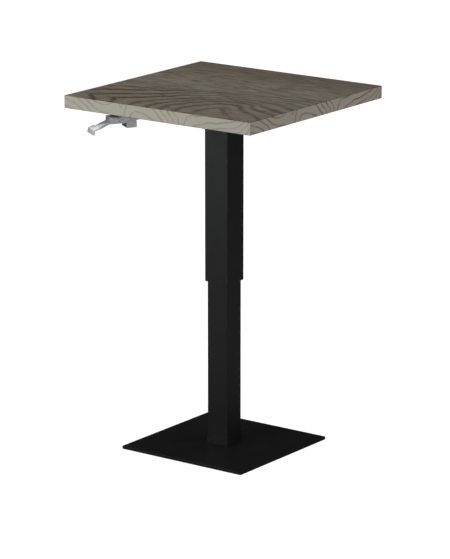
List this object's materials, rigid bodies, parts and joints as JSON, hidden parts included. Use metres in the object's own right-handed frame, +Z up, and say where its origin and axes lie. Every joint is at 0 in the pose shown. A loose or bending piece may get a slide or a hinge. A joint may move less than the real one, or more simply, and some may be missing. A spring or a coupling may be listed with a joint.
{
  "type": "height adjustable pedestal table",
  "caption": "Square laminated top on a telescoping square column with a gas spring, a flat square base and a hand lever that releases it by cable.",
  "frame": {"origin": "on the floor under the middle of the column", "axes": "+Z up along the column; -Y is the front edge of the top, behind which the hand lever hangs; +X to the right along that edge"},
  "size_m": [0.6, 0.6423, 0.98],
  "materials": {
    "pad_rubber": "matt fine-ribbed anti-slip sheet",
    "black_powder_coat": "matt fine-texture black powder coat",
    "zinc_steel": "bright zinc plate, satin",
    "raw_steel": "machined steel",
    "polished_steel": "ground and polished",
    "black_plastic": "moulded nylon",
    "seal_rubber": "smooth",
    "cable_sheath": "smooth extruded jacket",
    "core_board": "pressed board",
    "backer_sheet": "plain laminate backer",
    "wood_laminate": "grey-brown wood grain, low sheen",
    "edge_laminate": "pale end-grain figure, low sheen"
  },
  "bodies": {
    "base": {"floor_pad": "pad_rubber", "base_plate": "black_powder_coat", "base_bolts": "zinc_steel", "inner_tube": "black_powder_coat", "base_collar": "black_powder_coat", "tube_foot": "raw_steel", "upper_glide": "black_plastic", "spring_stand": "black_powder_coat", "gas_spring_cylinder": "black_powder_coat", "gas_spring_gland": "raw_steel", "rod_wiper_seal": "seal_rubber"},
    "top": {"outer_tube": "black_powder_coat", "lower_glide": "black_plastic", "mounting_plate": "black_powder_coat", "plate_screws": "zinc_steel", "tabletop_core": "core_board", "underside_backer": "backer_sheet", "top_laminate": "wood_laminate", "edge_band_front": "edge_laminate", "edge_band_back": "edge_laminate", "edge_band_left": "edge_laminate", "edge_band_right": "edge_laminate", "gas_spring_rod": "polished_steel", "gas_spring_piston": "raw_steel", "piston_nut": "zinc_steel", "rod_lock_nuts": "zinc_steel", "release_bracket": "zinc_steel", "bracket_screws": "zinc_steel", "crank_pivot_pin": "zinc_steel", "crank_spacers": "black_plastic", "lever_housing": "zinc_steel", "lever_pivot_pin": "zinc_steel", "housing_tie_rivet": "zinc_steel", "housing_screws": "zinc_steel", "pivot_washers": "black_plastic", "cable_ferrule": "zinc_steel", "cable_adjuster": "zinc_steel", "adjuster_nuts": "zinc_steel", "cable_sheath": "cable_sheath", "cable_clip": "black_plastic", "clip_screw": "zinc_steel"},
    "lever": {"hand_lever": "zinc_steel"},
    "lever_wire": {"lever_wire": "polished_steel"},
    "crank": {"release_crank": "zinc_steel"},
    "crank_wire": {"crank_wire": "polished_steel"},
    "release_pin": {"release_pin": "polished_steel"}
  },
  "joints": [
    {"name": "column_slide", "type": "slide", "parent": "base", "child": "top", "axis": [0, 0, 1], "range_m": [-0.24, 0.064]},
    {"name": "lever_pivot", "type": "hinge", "parent": "top", "child": "lever", "pos_m": [-0.15428, -0.27061, 0.9304], "axis": [-0.8443, 0.5358, 0], "range_deg": [0, 20], "stiffness_Nm_per_rad": 0.6, "springref_deg": -14.32},
    {"name": "lever_wire_slide", "type": "slide", "parent": "top", "child": "lever_wire", "axis": [-0.5358, -0.8443, 0], "range_m": [0, 0.00246]},
    {"name": "crank_pivot", "type": "hinge", "parent": "top", "child": "crank", "pos_m": [0, 0.008, 0.9154], "axis": [1, 0, 0], "range_deg": [0, 14.1]},
    {"name": "crank_wire_slide", "type": "slide", "parent": "top", "child": "crank_wire", "axis": [0, -1, 0], "range_m": [0, 0.00246]},
    {"name": "release_pin_slide", "type": "slide", "parent": "top", "child": "release_pin", "axis": [0, 0, -1], "range_m": [0, 0.00198]}
  ],
  "couplings": [
    {"joint": "lever_wire_slide", "follows": "lever_pivot", "m_per_rad": 0.007},
    {"joint": "crank_pivot", "follows": "lever_pivot", "ratio": 0.7},
    {"joint": "crank_wire_slide", "follows": "lever_pivot", "m_per_rad": 0.007},
    {"joint": "release_pin_slide", "follows": "lever_pivot", "m_per_rad": 0.0056}
  ]
}
